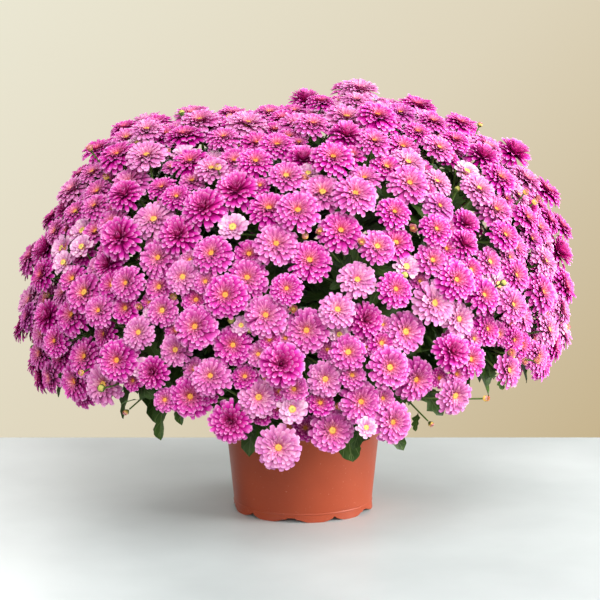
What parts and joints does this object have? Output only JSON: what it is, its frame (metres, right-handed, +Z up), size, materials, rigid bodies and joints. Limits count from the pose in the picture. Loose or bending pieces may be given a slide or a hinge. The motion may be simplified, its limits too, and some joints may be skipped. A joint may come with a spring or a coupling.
{
  "type": "pot chrysanthemum",
  "caption": "Bushy pot chrysanthemum: a wide dome of double pink blooms on leafy stems, in a tapered terracotta-coloured plastic nursery pot.",
  "frame": {"origin": "under the middle of the bush's outline, on the surface that the pot stands on", "axes": "+Z up, the shortest extent; +Y away from the side that the picture shows, +X to that side's right"},
  "size_m": [0.6481, 0.6537, 0.502],
  "materials": {
    "terracotta_plastic": "satin",
    "soil": "matte",
    "foliage": "satin",
    "petals": "matte"
  },
  "bodies": {
    "root": {"pot": "terracotta_plastic", "soil": "soil", "leafy_stem_1": "foliage", "leafy_stem_2": "foliage", "leafy_stem_3": "foliage", "leafy_stem_4": "foliage", "leafy_stem_5": "foliage", "leafy_stem_6": "foliage", "leafy_stem_7": "foliage", "spray_01": "petals", "spray_02": "petals", "spray_03": "petals", "spray_04": "petals", "spray_05": "petals", "spray_06": "petals", "spray_07": "petals", "spray_08": "petals", "spray_09": "petals", "spray_10": "petals", "spray_11": "petals", "spray_12": "petals", "spray_13": "petals", "spray_14": "petals", "spray_15": "petals", "spray_16": "petals", "spray_17": "petals", "spray_18": "petals", "spray_19": "petals", "spray_20": "petals", "spray_21": "petals", "spray_22": "petals", "spray_23": "petals", "spray_24": "petals", "spray_25": "petals", "spray_26": "petals", "spray_27": "petals", "spray_28": "petals", "spray_29": "petals", "spray_30": "petals", "spray_31": "petals", "spray_32": "petals", "spray_33": "petals", "spray_34": "petals", "spray_35": "petals", "spray_36": "petals", "spray_37": "petals", "spray_38": "petals", "spray_39": "petals", "spray_40": "petals", "spray_41": "petals", "spray_42": "petals", "spray_43": "petals", "spray_44": "petals", "spray_45": "petals", "spray_46": "petals", "spray_47": "petals", "spray_48": "petals", "spray_49": "petals", "spray_50": "petals"}
  },
  "joints": []
}
